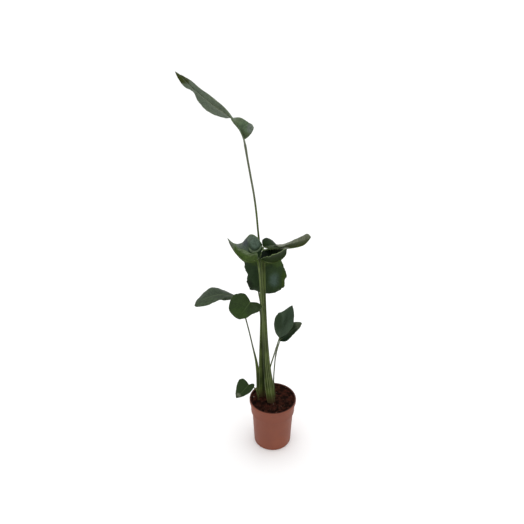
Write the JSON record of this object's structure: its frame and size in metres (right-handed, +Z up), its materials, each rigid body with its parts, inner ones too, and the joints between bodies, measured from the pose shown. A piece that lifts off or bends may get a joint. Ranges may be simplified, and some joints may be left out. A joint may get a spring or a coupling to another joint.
{
  "type": "potted bird of paradise plant",
  "caption": "Bird of paradise house plant with broad upright leaves on long stalks, in a terracotta-coloured plastic nursery pot.",
  "frame": {"origin": "centre of the pot's flat underside", "axes": "+Z up, +X to the right and +Y away from the viewer, as the picture shows the plant"},
  "size_m": [0.4339, 0.195, 1.4746],
  "materials": {
    "leaf": "satin",
    "stalk": "satin",
    "pot": "satin",
    "soil": "matte"
  },
  "bodies": {
    "root": {"pot": "pot", "soil": "soil", "shoot_right": "stalk", "shoot_left": "stalk", "stalk_lower_right": "stalk", "stalk_small": "stalk", "blade_top": "leaf", "blade_right": "leaf", "blade_left": "leaf", "blade_cupped": "leaf", "blade_hanging": "leaf", "blade_low_left": "leaf", "blade_heart": "leaf", "blade_upper_right": "leaf", "blade_lower_right": "leaf", "blade_small": "leaf"}
  },
  "joints": []
}
